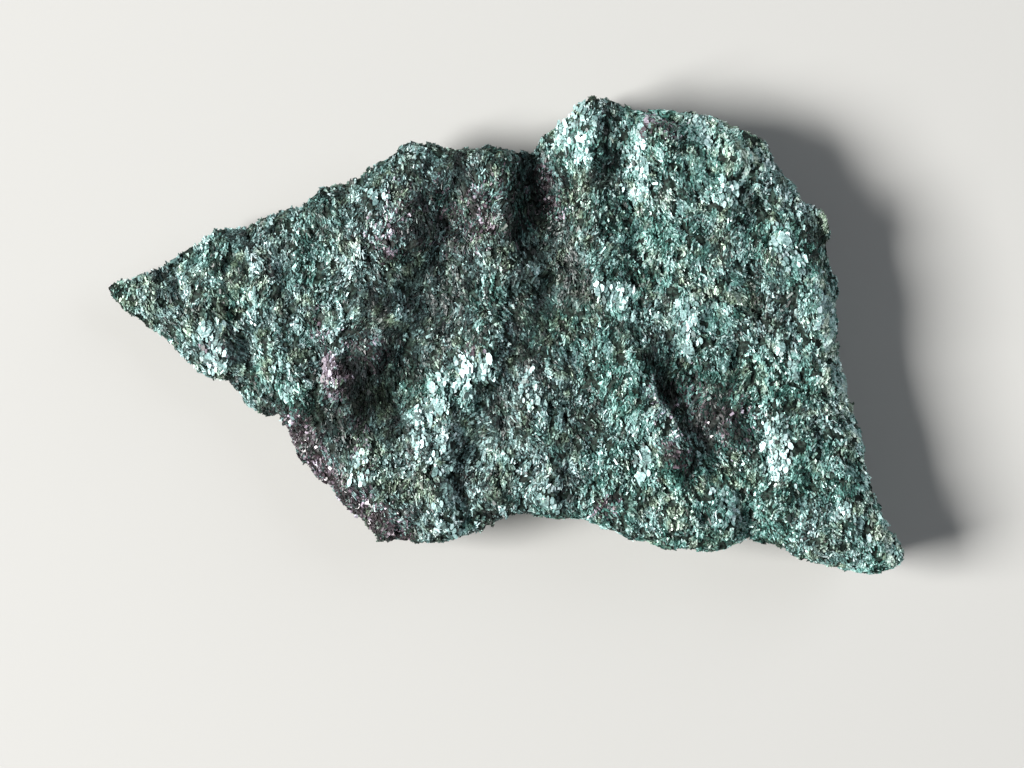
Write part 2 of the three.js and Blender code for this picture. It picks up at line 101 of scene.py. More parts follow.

# Where the flakes lean away from the light and get painted shade (below 0), or lean towards it and get
# painted light (above 0)
leanAndPaintedShades = [
    (-6.5, 19.5, -9.5, 12.0, 3.0, -0.14), (-9.5, 12.0, -15.0, 5.6, 3.0, -0.11),
    (-15.0, 5.6, -17.6, -8.4, 3.2, -0.11), (-6.0, 14.0, -10.4, -3.0, 4.6, -0.08),
    (3.2, 19.0, 3.6, 13.0, 2.8, -0.15), (3.6, 13.0, 9.0, 7.0, 2.8, -0.16),
    (5.0, 6.0, 4.2, -1.0, 2.8, -0.15), (1.2, -8.0, -0.6, -11.5, 1.8, -0.10),
    (-3.4, -9.0, -3.4, -13.5, 1.5, -0.06), (18.4, -2.0, 24.2, -12.4, 2.2, -0.14),
    (17.5, -2.4, 23.2, -13.0, 1.1, -0.20), (24.0, -12.4, 28.0, -17.6, 1.2, -0.10),
    (31.4, 6.0, 33.4, 3.0, 2.0, -0.17), (28.0, 16.4, 28.2, 13.6, 1.2, -0.13),
    (24.4, 21.4, 23.4, 18.6, 1.2, -0.12), (37.8, 12.0, 38.8, 8.0, 1.4, -0.22),
    (35.6, -19.6, 36.0, -22.0, 1.9, -0.15), (-27.0, -9.0, -13.0, -24.0, 2.8, -0.21),
    (24.6, -1.8, 26.6, -5.0, 2.4, -0.10), (25.4, -7.6, 27.6, -11.4, 2.8, -0.29),
    (-21.0, -9.0, -12.0, -10.6, 2.8, -0.25), (19.6, -14.0, 20.8, -15.6, 2.0, -0.29),
    (6.2, 21.0, 6.4, 16.8, 1.5, -0.14), (9.8, 18.6, 9.4, 6.4, 1.8, -0.12),
    (-1.4, -12.4, -1.2, -15.0, 1.6, -0.14), (-19.4, 18.0, -16.4, 19.4, 1.6, -0.14),
    (-30.4, 10.4, -28.8, 9.4, 1.4, -0.11), (-29.0, -0.8, -27.8, -2.4, 1.4, -0.12),
    (33.0, 15.2, 33.8, 13.2, 1.4, -0.13), (-15.4, 3.4, -15.0, 0.6, 1.6, -0.10),
    (20.6, -6.0, 23.0, -11.0, 2.8, -0.09), (13.0, 3.6, 14.0, 1.4, 1.4, -0.11),
    (-11.4, 5.8, -11.8, 4.2, 1.6, 0.11), (27.4, -21.0, 28.8, -22.8, 1.4, 0.16),
    (8.6, 6.0, 1.0, -9.0, 2.4, -0.07), (-17.0, -4.0, -14.6, -8.4, 2.2, -0.12),
    (11.6, 25.0, 14.0, 20.0, 0.9, -0.25), (-4.0, 16.0, -8.0, -20.0, 8.0, -0.085),
    (-38.4, 8.6, -33.0, 6.0, 2.2, -0.10), (-21.0, 12.4, -19.4, 11.0, 2.0, -0.10),
    (-33.4, 8.0, -31.0, 5.0, 1.4, -0.10), (-22.6, 6.0, -23.4, 4.0, 2.0, -0.08),
    (31.6, -22.0, 31.8, -23.2, 1.6, -0.10), (8.0, 26.0, 8.4, 22.5, 3.4, 0.08),
    (22.0, 27.5, 38.0, 17.0, 3.2, 0.30), (22.6, 12.4, 26.4, 15.6, 2.2, 0.14),
    (40.2, 6.6, 41.8, -6.0, 3.0, 0.42), (41.8, -6.0, 47.4, -26.0, 3.4, 0.36),
    (24.0, 18.0, 36.0, -20.0, 11.0, 0.055), (23.0, 24.0, 30.0, 16.0, 3.6, 0.08),
    (-46.5, 5.0, -43.0, 4.0, 2.6, 0.20), (-38.0, -1.0, -35.0, -2.5, 1.8, 0.08),
    (-17.8, -2.6, -17.6, -6.4, 1.3, -0.24), (-21.0, -2.6, -20.4, -5.8, 0.8, 0.34),
    (17.0, 25.6, 20.6, 22.0, 2.0, -0.12), (36.5, -4.0, 38.0, -11.0, 2.4, 0.16),
    (-6.8, -11.5, -6.6, -22.5, 1.6, 0.14), (15.0, -19.0, 30.0, -25.0, 2.6, 0.08),
    (15.0, -9.0, 17.0, -12.0, 2.4, 0.10), (15.7, -2.6, 21.5, -13.2, 0.8, 0.32),
    (26.0, 6.0, 26.4, 4.0, 1.8, 0.14), (30.8, -1.0, 31.2, -2.4, 1.8, 0.10),
    (-24.0, 14.0, -23.0, 12.4, 1.8, 0.10), (-13.8, -15.6, -13.2, -17.6, 1.8, 0.14),
    (-16.6, 9.0, -16.2, 7.0, 1.8, 0.10), (-12.2, 16.0, -11.6, 14.4, 1.8, 0.17),
    (-32.6, 5.4, -25.4, 2.4, 4.4, 0.12), (-3.2, -4.0, -4.6, -6.6, 1.4, 0.22),
    (-6.4, -6.4, -8.6, -9.0, 1.2, 0.16), (22.1, 3.4, 22.9, 0.8, 1.8, 0.22),
    (33.4, 10.8, 34.4, 8.8, 1.7, 0.12), (37.4, 5.0, 37.8, 2.0, 1.2, 0.12),
    (5.0, -14.0, 16.0, -16.0, 4.4, 0.04),
]

# Noise shifts what is placed on the plan, so that its edge is ragged: shift and size of the lumps, in mm
raggedness = dict(coarse=(1.6, 2.6), fine=(0.7, 0.9))

# The ruby underneath lies in patches at random
rubyBelow = dict(size=8, gain=2.5, cut=0.6, most=0.7)


# sRGB hex to linear, with alpha
def linear(hexColour):
    parts = [int(hexColour[i:i + 2], 16) / 255 for i in (1, 3, 5)]
    return [c / 12.92 if c <= 0.04045 else ((c + 0.055) / 1.055) ** 2.4 for c in parts] + [1]


# Smooth noise at points given in mm, with lumps of the given size. The seed picks the pattern.
def noiseAt(points, size, seed):
    scaled = points / size + (17.3 * seed, 5.9 * seed, 3.1 * seed)
    return np.array([noise.noise(Vector(p)) for p in scaled])


# Some noises, each given as its strength, the size of its lumps in mm and its seed
def noisesAt(points, terms):
    for strength, size, seed in terms:
        yield strength * noiseAt(points, size, seed)


def unit(vectors):
    return vectors / np.maximum(np.linalg.norm(vectors, axis=1, keepdims=True), 1e-12)


# What is left of some vectors in the planes that the normals stand on
def inPlane(vectors, normals):
    return vectors - normals * np.einsum("ij,ij->i", vectors, normals)[:, None]


def treeOf(points):
    tree = kdtree.KDTree(len(points))
    for i, p in enumerate(points):
        tree.insert(p, i)
    tree.balance()
    return tree


# Points on the plan, shifted a little by noise
def raggedPlan(points, amount=1):
    (coarse, coarseSize), (fine, fineSize) = raggedness["coarse"], raggedness["fine"]
    shift = [coarse * noiseAt(points, coarseSize, seed) + fine * noiseAt(points, fineSize, seed + 2)
             for seed in (11, 12)]
    return points[:, :2] + amount * np.stack(shift, axis=1)


# How strongly each point lies in each streak. A streak is full to 0.45 of its reach and ends at 1.45 of it.
def inStreaks(plan, streaks):
    for x0, y0, x1, y1, reach, strength in streaks:
        start, run = np.array((x0, y0)), np.array((x1 - x0, y1 - y0))
        part = np.clip((plan - start) @ run / (run @ run), 0, 1)
        away = np.linalg.norm(plan - start - part[:, None] * run, axis=1) / reach
        yield strength * np.clip(1.45 - away, 0, 1)


def mostOf(plan, streaks):
    return np.max(list(inStreaks(plan, streaks)), axis=0)


def sumOf(plan, streaks):
    return np.sum(list(inStreaks(plan, streaks)), axis=0)


# How much ruby shows: as placed on the upper face and the sides, at random underneath
def rubyAt(points, plan, normals):
    patches = rubyBelow["gain"] * noiseAt(points, rubyBelow["size"], 9) - rubyBelow["cut"]
    return np.where(normals[:, 2] > -0.5, mostOf(plan, rubies), np.clip(patches, 0, rubyBelow["most"]))


# The broken surface between the flakes, in mm
stone = dict(
    cuts=2,  # points added along each edge of the CAD mesh
    smoothing=2,
    sunk=0.30,  # how far it lies under the CAD surface, which the tips of the flakes reach
    roughSize=0.55,
    roughHeight=0.10,
)

# Grains: patches of mica that share one cleavage. Each is a small tilted facet of the break.
bigGrains = dict(spacing=3.0, tilt=0.11, lift=0.08, tone=0.07)
smallGrains = dict(spacing=1.0, tilt=0.20, lift=0.06, tone=0.11)
grainStretch = (1, 0.55, 1.6)  # grains are long along Y and thin in height
facetHeight = (-0.6, 0.5)  # mm, how far down and up a facet may go


# A copy of the CAD stone with its doubles merged and its faces cut finer. Its points are given in mm.
def fineCopy():
    bm = bmesh.new()
    bm.from_mesh(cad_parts[stoneNode].data)
    bmesh.ops.remove_doubles(bm, verts=bm.verts, dist=1e-6)
    bmesh.ops.subdivide_edges(bm, edges=bm.edges, cuts=stone["cuts"], use_grid_fill=True)
    for _ in range(stone["smoothing"]):
        bmesh.ops.smooth_vert(bm, verts=bm.verts, factor=0.5,
                              use_axis_x=True, use_axis_y=True, use_axis_z=True)
    bmesh.ops.triangulate(bm, faces=bm.faces)
    bm.normal_update()
    points = np.array([v.co for v in bm.verts]) / mm
    normals = np.array([v.normal for v in bm.verts])
    corners = np.array([[v.index for v in f.verts] for f in bm.faces])
    return bm, points, normals, corners


# Random points on triangles, as many as given or one to each square of the given spacing
def pointsOnFaces(points, corners, spacing=None, count=None):
    a, b, c = points[corners[:, 0]], points[corners[:, 1]], points[corners[:, 2]]
    areas = np.linalg.norm(np.cross(b - a, c - a), axis=1) / 2
    count = count or int(areas.sum() / spacing**2)
    steps = (np.arange(count) + draw.uniform(0, 1, count)) / count * areas.sum()
    face = np.minimum(np.searchsorted(np.cumsum(areas), steps), len(corners) - 1)
    u, v = draw.uniform(0, 1, (2, count))
    u, v = np.where(u + v > 1, 1 - u, u)[:, None], np.where(u + v > 1, 1 - v, v)[:, None]
    return a[face] * (1 - u - v) + b[face] * u + c[face] * v, face


# Seeds of the grains, spread over the surface, each with a tilt, a height, a tone and a pearly sheen (a lean
# towards the light and a painted paler tone)
def makeGrains(points, corners, settings):
    seeds, _ = pointsOnFaces(points, corners, settings["spacing"])
    silver = mostOf(raggedPlan(seeds), silvery)
    return dict(
        tree=treeOf(seeds * grainStretch),
        seeds=seeds,
        tilts=draw.normal(0, settings["tilt"], (len(seeds), 3)),
        lifts=draw.normal(0, settings["lift"], len(seeds)),
        tones=draw.normal(0, settings["tone"], len(seeds)),
        sheens=np.clip(6 * (silver - draw.uniform(0.2, 0.8, len(seeds))), 0, 1),
    )


# Which grain each point belongs to
def grainOf(points, grains):
    return np.array([grains["tree"].find(p)[1] for p in points * grainStretch])


print("stone: cutting the CAD surface finer")
bm, points, normals, corners = fineCopy()
big = makeGrains(points, corners, bigGrains)
small = makeGrains(points, corners, smallGrains)


# Height of the break above the CAD surface, from the grains' facets and a fine roughness
def breakHeight(points):
    height = np.full(len(points), -stone["sunk"])
    for grains in (big, small):
        i = grainOf(points, grains)
        facet = np.einsum("ij,ij->i", grains["tilts"][i], points - grains["seeds"][i])
        height += np.clip(grains["lifts"][i] + facet, *facetHeight)
    return height + stone["roughHeight"] * noiseAt(points, stone["roughSize"], 3)


def addPiece(name, mesh, material):
    piece = bpy.data.objects.new(name, mesh)
    bpy.context.scene.collection.objects.link(piece)
    piece.data.materials.append(material)
    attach(piece, "root")
    return piece


# Adds a node with its settings, the stops of its ramp and its links. Inputs go by name or by number.
def addNode(tree, kind, inputs=None, stops=(), **settings):
    node = tree.nodes.new(kind)
    for name, value in settings.items():
        setattr(node, name, value)
    for socket, value in (inputs or {}).items():
        if isinstance(value, bpy.types.NodeSocket):
            tree.links.new(value, node.inputs[socket])
        else:
            node.inputs[socket].default_value = value
    for i, (position, colour) in enumerate(stops):
        element = node.color_ramp.elements[i] if i < 2 else node.color_ramp.elements.new(1)
        element.position = position
        element.color = linear(colour)
    return node


def newMaterial(name):
    material = bpy.data.materials.new(name)
    material.use_nodes = True
    tree = material.node_tree
    return material, tree, tree.nodes["Principled BSDF"]


# The colour of each tone from the first ramp, and from the others as far as the piece's attributes say
def colourOf(tree, tone, stops, ramps):
    colour = None
    for kind, colours in ramps.items():
        ramp = addNode(tree, "ShaderNodeValToRGB", {"Fac": tone}, zip(stops, colours)).outputs["Color"]
        if colour is None:
            colour = ramp
        else:
            share = addNode(tree, "ShaderNodeAttribute", attribute_name=kind).outputs["Fac"]
            colour = addNode(tree, "ShaderNodeMix", {"Factor": share, "A": colour, "B": ramp},
                             data_type="RGBA").outputs["Result"]
    return colour


# The fine grain of the mica, and the pale fibres 0.1 mm thick that curl over it in places. Sizes are in mm.
fibres = dict(grainSize=0.26, grainTone=0.7, curlSize=0.75, fibreTone=0.18, areaSize=2.2)


# Adds the grain and the fibres to a tone
def withFibres(tree, tone):
    place = addNode(tree, "ShaderNodeTexCoord").outputs["Object"]
    grain, curls, areas = (
        addNode(tree, "ShaderNodeTexNoise", {"Vector": place, "Scale": 1 / (fibres[size] * mm),
                                             "Detail": detail})
        for size, detail in (("grainSize", 2), ("curlSize", 1), ("areaSize", 1)))
    offset = addNode(tree, "ShaderNodeMath", {0: curls.outputs["Fac"], 1: 0.5}, operation="SUBTRACT")
    away = addNode(tree, "ShaderNodeMath", {0: offset.outputs["Value"]}, operation="ABSOLUTE")
    fibre = addNode(tree, "ShaderNodeMapRange", {"Value": away.outputs["Value"], "From Min": 0.015,
                                                 "From Max": 0.06, "To Min": 1.0, "To Max": 0.0})
    share = addNode(tree, "ShaderNodeMapRange", {"Value": areas.outputs["Fac"], "From Min": 0.42,
                                                 "From Max": 0.62})
    pale = addNode(tree, "ShaderNodeMath", {0: fibre.outputs["Result"], 1: share.outputs["Result"]},
                   operation="MULTIPLY")
    speckle = addNode(tree, "ShaderNodeMath", {0: grain.outputs["Fac"], 1: 0.5}, operation="SUBTRACT")
    grained = addNode(tree, "ShaderNodeMath", {0: speckle.outputs["Value"], 1: fibres["grainTone"], 2: tone},
                      operation="MULTIPLY_ADD")
    curled = addNode(tree, "ShaderNodeMath", {0: pale.outputs["Value"], 1: fibres["fibreTone"],
                                              2: grained.outputs["Value"]}, operation="MULTIPLY_ADD")
    return curled.outputs["Value"]


# Colours of a flake by its tone, from one turned away from the light to one that flashes
micaLooks = dict(
    stops=(0.0, 0.3, 0.5, 0.7, 1.0),
    ramps=dict(
        fuchsite=("#121717", "#293937", "#526b69", "#8bafae", "#d5e9eb"),
        emerald=("#0c1d18", "#1d4139", "#42756b", "#82b5ae", "#cdeae7"),
        olive=("#141812", "#2c382c", "#586b58", "#91aa93", "#d7e7da"),
        ruby=("#171616", "#312c2f", "#554b53", "#8e8490", "#dcd8e8"),
    ),
    ior=1.6,
    roughness=0.43,
    metallic=0.22,  # stands for the light that comes back from the cleavages inside a plate
)


# Fuchsite, the green chromian mica, cleaved: glassy to pearly plates that flash when they face the light
def micaMaterial():
    material, tree, shader = newMaterial("fuchsite_mica")
    tone = withFibres(tree, addNode(tree, "ShaderNodeAttribute", attribute_name="tone").outputs["Fac"])
    tree.links.new(colourOf(tree, tone, micaLooks["stops"], micaLooks["ramps"]), shader.inputs["Base Color"])
    shader.inputs["IOR"].default_value = micaLooks["ior"]
    shader.inputs["Roughness"].default_value = micaLooks["roughness"]
    shader.inputs["Metallic"].default_value = micaLooks["metallic"]
    return material


# Sizes are in mm
schistLooks = dict(
    stops=(0.3, 0.5, 0.65),
    # Near-black ramps: the gaps between the flakes are painted dark as shade
    ramps=dict(green=("#0d130f", "#1c2822", "#3a4f47"), ruby=("#171314", "#2f2729", "#54464e")),
    speckleSize=0.5,
    gritSize=0.22,
    gritHeight=0.12,
    roughness=0.65,
    ior=1.58,
    specular=0.15,  # low, because grit this fine shades its own gloss
)


# The schist between the flakes: fine mica and quartz, matt and dark green, painted darker still as the shade
# in the gaps between the flakes
def schistMaterial():
    material, tree, shader = newMaterial("fuchsite_schist_matrix")
    place = addNode(tree, "ShaderNodeTexCoord").outputs["Object"]
    speckle, grit = (
        addNode(tree, "ShaderNodeTexNoise", {"Vector": place, "Scale": 1 / (schistLooks[size] * mm),
                                             "Detail": detail}).outputs["Fac"]
        for size, detail in (("speckleSize", 3), ("gritSize", 2)))
    colour = colourOf(tree, speckle, schistLooks["stops"], schistLooks["ramps"])
    tree.links.new(colour, shader.inputs["Base Color"])
    bump = addNode(tree, "ShaderNodeBump", {"Height": grit, "Strength": 0.6,
                                            "Distance": schistLooks["gritHeight"] * mm})
    tree.links.new(bump.outputs["Normal"], shader.inputs["Normal"])
    shader.inputs["Roughness"].default_value = schistLooks["roughness"]
    shader.inputs["IOR"].default_value = schistLooks["ior"]
    shader.inputs["Specular IOR Level"].default_value = schistLooks["specular"]
    return material


# Texture places for the stone: upper face, underside and the rim unrolled, each in its own part of the sheet.
# The stone is 1.7 times as long as it is wide.
def sheetMap(mesh):
    loops = np.array([loop.vertex_index for loop in mesh.loops]).reshape(-1, 3)
    at = np.array([v.co for v in mesh.vertices])[loops] / mm
    up = np.array([p.normal.z for p in mesh.polygons])
    flat = (at[:, :, :2] + (50, 30)) / 100
    angle = np.arctan2(at[:, :, 1] * 1.7, at[:, :, 0]) / (2 * math.pi) + 0.5
    angle = np.where((np.ptp(angle, axis=1) > 0.5)[:, None] & (angle < 0.5), angle + 1, angle)
    rim = np.stack([angle * 0.9, at[:, :, 2] / 100], axis=2)
    upper = flat * 0.5 + (0, 0.3)
    under = flat * 0.5 + (0.5, 0.3)
    steep = (np.abs(up) < 0.35)[:, None, None]
    return np.where(steep, rim, np.where((up > 0)[:, None, None], upper, under)).astype(np.float32)


# The stone's own surface
moved = points + normals * breakHeight(points)[:, None]
moved[:, 2] = np.maximum(moved[:, 2], 0.01)
for v, p in zip(bm.verts, moved * mm):
    v.co = p
bm.normal_update()
stoneMesh = bpy.data.meshes.new("schist_surface")
bm.to_mesh(stoneMesh)
bm.free()
rubyShare = rubyAt(moved, raggedPlan(moved), normals)
stoneMesh.attributes.new("ruby", "FLOAT", "POINT").data.foreach_set("value", rubyShare.astype(np.float32))
stoneMesh.uv_layers.new(name="OFBake").data.foreach_set("uv", sheetMap(stoneMesh).reshape(-1))
surface = addPiece("schist_surface", stoneMesh, schistMaterial())
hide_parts(stoneNode)
print("stone: surface of", len(corners), "triangles")

# The steep sides, for how far a flake is from the rim
rimTree = treeOf(moved[np.abs(normals[:, 2]) < 0.5])


# A mesh of many small closed shapes, all with the same faces
def meshOf(name, vertices, faces):
    count, perShape = vertices.shape[:2]
    allFaces = (np.array(faces)[None] + perShape * np.arange(count)[:, None, None]).reshape(-1, len(faces[0]))
    mesh = bpy.data.meshes.new(name)
    mesh.from_pydata(vertices.reshape(-1, 3) * mm, [], allFaces)
    return mesh


# Gives each face its values, from 0 to 1
def setFaceValues(mesh, **values):
    for label, value in values.items():
        allValues = np.repeat(np.clip(value, 0, 1), len(mesh.polygons) // len(value)).astype(np.float32)
        mesh.attributes.new(label, "FLOAT", "FACE").data.foreach_set("value", allValues)


# One square of the texture for each small shape, with the places that its faces' corners take in the square
def addBakeMap(mesh, count, places):
    side = math.ceil(math.sqrt(count))
    squares = np.stack([np.arange(count) % side, np.arange(count) // side], axis=1)
    spots = (squares[:, None] + np.array(places)[None]) / side
    mesh.uv_layers.new(name="OFBake").data.foreach_set("uv", spots.reshape(-1).astype(np.float32))


squarePlaces = np.array([(0.15, 0.15), (0.85, 0.15), (0.85, 0.85), (0.15, 0.85), (0.5, 0.5)])

# Mica flakes, in mm
flakes = dict(
    length=(0.58, 0.42),  # middle value and spread
    longest=1.1,
    width=(0.21, 0.34),
    cornerReach=(0.55, 1.1),  # how far the corners reach of half the length and width
    fold=0.03,
    depth=0.45,
    jitter=0.46,  # tilt of a flake out of its grain
    lift=0.16,
    turn=0.36,  # radians a flake turns out of the flow
    stray=0.15,  # random part of a flake's direction
    swirls=((0.75, 13, 4), (1.1, 3.6, 5)),  # noises, in radians
    pits=(0.85, -0.22),  # size of the gaps between flakes, and the noise below which there is a gap
    spare=1.35,  # spots tried for each flake, so that enough are left beside the gaps
    unrest=(0.95, ((1.0, 3.2, 15), (0.5, 1.3, 16))),  # how much tilt and tone vary, with noises
    nearRim=(0.55, 0.5),  # share of the length that is left at the rim, and what each mm inwards adds
)

# Tone and kind of mica of the flakes, from 0 to 1. The noises are as above.
flakeTones = dict(
    middle=0.452,
    spread=0.23,
    wide=(0.05, 9, 6),
    layers=(0.22, 0.8, 17),  # on the sides
    clumps=(0.3, 1.5, 21),  # on the pointed end
    clumpsFrom=(-20, 8),  # mm along X where they begin, and over what length they grow
    # Painted shade and light: how far the shade streaks darken or pale the tone
    shade=0.7,
    # Painted sheen: how much paler the flakes are in the silvery streaks
    sheen=0.06,
    emerald=dict(start=(0.14, 0.08), noises=((0.8, 6, 7), (0.6, 1.5, 8)), placed=1.2, toRight=(0.40, 14)),
    olive=dict(start=(-0.02, 0.10), noises=((1.2, 1.2, 19), (0.9, 3.4, 20)), placed=0.5),
)
flakeFaces = [(0, 1, 2), (0, 2, 3), (1, 0, 4), (2, 1, 4), (3, 2, 4), (0, 3, 4)]
towardsLight = (-1, 0.1, 0)


# The way the flakes lie: along Y on the upper face, with swirls, and round the rim on the sides
def flowAt(points, normals):
    turn = sum(noisesAt(points, flakes["swirls"])) + draw.normal(0, flakes["turn"], len(points))
    onTop = np.stack([np.sin(turn), np.cos(turn), np.zeros(len(points))], axis=1)
    level = np.cross(normals, (0, 0, 1.0))
    sideways = np.clip(1.6 * (0.75 - np.abs(normals[:, 2])), 0, 1)[:, None]
    along = onTop * (1 - sideways) + level * sideways * np.sign(draw.uniform(-1, 1, (len(points), 1)))
    along = along + flakes["stray"] * draw.normal(0, 1, along.shape)
    return unit(inPlane(along, normals))


# Spots for flakes, with gaps between them as small pits
def flakeSpots(faces, count):
    size, limit = flakes["pits"]
    spots, face = pointsOnFaces(moved, corners[faces], count=int(flakes["spare"] * count))
    order = draw.permutation(np.nonzero(noiseAt(spots * (1, 0.7, 1), size, 18) > limit)[0])[:count]
    return spots[order], np.nonzero(faces)[0][face[order]]


# Flakes as closed shapes of 6 triangles: a slightly folded four-cornered plate on a point sunk in the stone
def flakePiece(name, faces, count, scale, material):
    spots, face = flakeSpots(faces, count)
    count = len(spots)
    flat = unit(normals[corners[face]].mean(axis=1))
    bigOf, smallOf = grainOf(spots, big), grainOf(spots, small)
    plan = raggedPlan(spots)
    onTop = flat[:, 2] > -0.5
    # Shade streaks: they lean the flakes towards or away from the light and paint their tone paler or darker,
    # as painted light and painted shade
    shade = sumOf(raggedPlan(spots, 0.45), leanAndPaintedShades) * onTop
    sheen = small["sheens"][smallOf] * (flat[:, 2] > 0.3)

    # Flakes lie calmer in the dark and in patches, and on steep sides
    middle, unrest = flakes["unrest"]
    patch = np.clip(sum(noisesAt(spots, unrest), middle), 0.55, 1.4)
    calm = np.clip(1 + 2.2 * shade, 0.5, 1) * patch
    upright = np.clip(0.35 + 0.75 * np.abs(flat[:, 2]), 0, 1)
    lean = big["tilts"][bigOf] + small["tilts"][smallOf] + draw.normal(0, flakes["jitter"], (count, 3))
    lean = inPlane(lean * (calm * upright)[:, None], flat) * (1 - 0.4 * sheen)[:, None]
    facing = unit(flat - lean + (0.10 * sheen + 0.9 * shade)[:, None] * np.array(towardsLight))
    along = flowAt(spots, facing)
    across = np.cross(facing, along)

    # Near the rim they are shorter, so that the outline stays crisp
    fromRim = np.array([rimTree.find(p)[2] for p in spots])
    atRim, perMm = flakes["nearRim"]
    length = flakes["length"][0] * np.exp(draw.normal(0, flakes["length"][1], count))
    length = scale * np.minimum(length, flakes["longest"]) * np.clip(atRim + perMm * fromRim, 0, 1)
    width = flakes["width"][0] * np.exp(draw.normal(0, flakes["width"][1], count)) * (1 + 0.2 * sheen) * scale
    lift = draw.uniform(0, flakes["lift"], count) * upright + 0.25 * stone["sunk"]
    centre = spots + flat * lift[:, None]
    vertices = np.empty((count, 5, 3))
    for i, (sx, sy) in enumerate(((-1, -1), (1, -1), (1, 1), (-1, 1))):
        reach, spread = draw.uniform(*flakes["cornerReach"], (2, count))
        vertices[:, i] = (centre + along * (sx * length * reach / 2)[:, None]
                          + across * (sy * width * spread / 2)[:, None]
                          + facing * draw.normal(0, flakes["fold"], count)[:, None])
    vertices[:, 4] = centre - flat * flakes["depth"]
    vertices[:, :, 2] = np.maximum(vertices[:, :, 2], 0.0)
    mesh = meshOf(name, vertices, flakeFaces)

    # Tone: by the flake itself, in clumps on the pointed end, in layers on the sides, by grain, by painted
    # shade and painted light from the shade streaks, and by a painted sheen in the silvery streaks
    begin, growth = flakeTones["clumpsFrom"]
    clump, clumpSize, clumpSeed = flakeTones["clumps"]
    clumped = np.clip((begin - spots[:, 0]) / growth, 0, 1) * onTop
    tone = flakeTones["middle"] + flakeTones["spread"] * calm * (1 - 0.3 * clumped) * draw.normal(0, 1, count)
    tone = tone + clump * clumped * noiseAt(spots * (1, 0.7, 1), clumpSize, clumpSeed)
    layer, layerSize, layerSeed = flakeTones["layers"]
    layers = noiseAt(spots * (0.12, 0.12, 1), layerSize, layerSeed) * (1 - np.abs(flat[:, 2]))
    tone = sum(noisesAt(spots, [flakeTones["wide"]]), tone) + flakeTones["shade"] * shade + layer * layers
    tone = tone + big["tones"][bigOf] + small["tones"][smallOf] + flakeTones["sheen"] * sheen

    # Kind of mica: greener to the right and in patches, yellower in finer ones, and plum where ruby shows
    plum = (rubyAt(spots, plan, flat) > draw.uniform(0.05, 0.95, count)) * 1.0
    emerald, olive = flakeTones["emerald"], flakeTones["olive"]
    rightward, over = emerald["toRight"]
    vivid = sum(noisesAt(spots, emerald["noises"]), draw.normal(*emerald["start"], count))
    vivid = vivid + rightward * np.clip(spots[:, 0] / over, -0.3, 1)
    vivid = vivid + emerald["placed"] * mostOf(plan, emeralds)
    yellow = sum(noisesAt(spots, olive["noises"]), draw.normal(*olive["start"], count))
    yellow = yellow + olive["placed"] * mostOf(plan, olives) * onTop
    setFaceValues(mesh, tone=tone, ruby=plum, emerald=vivid, olive=yellow)
    addBakeMap(mesh, count, squarePlaces[np.array(flakeFaces).reshape(-1)])
    return addPiece(name, mesh, material)


# Pearly scales in the silvery streaks, in mm
scales = dict(
    tries=90000,
    edge=(0.52, 0.45, 1.1),  # strength of a streak at its edge, and how much noise of that size shifts it
    apart=0.38,
    sides=7,
    length=0.84,
    width=0.48,
    sizeSpread=0.28,
    cornerReach=(0.75, 1.2),
    height=(0.30, 0.06),  # above the stone's surface, and its spread
    leaning=(-0.26, 0.02, 0.42),  # all lean one way, towards the light
    tilt=0.21,
    turn=0.25,
    # Paler than the flakes: partly the pearly mica's own colour, partly a painted sheen
    middleTone=0.64,
    toneSpread=0.15,
    rubyTone=-0.15,
    emerald=0.05,
)


# Leaves out each spot that lies too close to an earlier one. Scales lie closer along Y.
def spacedOut(spots, apart):
    stretched = spots * (1, 0.62, 1)
    tree = treeOf(stretched)
    free = np.ones(len(spots), bool)
    for i, p in enumerate(stretched):
        if free[i]:
            free[[j for _, j, _ in tree.find_range(p, apart) if j > i]] = False
    return free


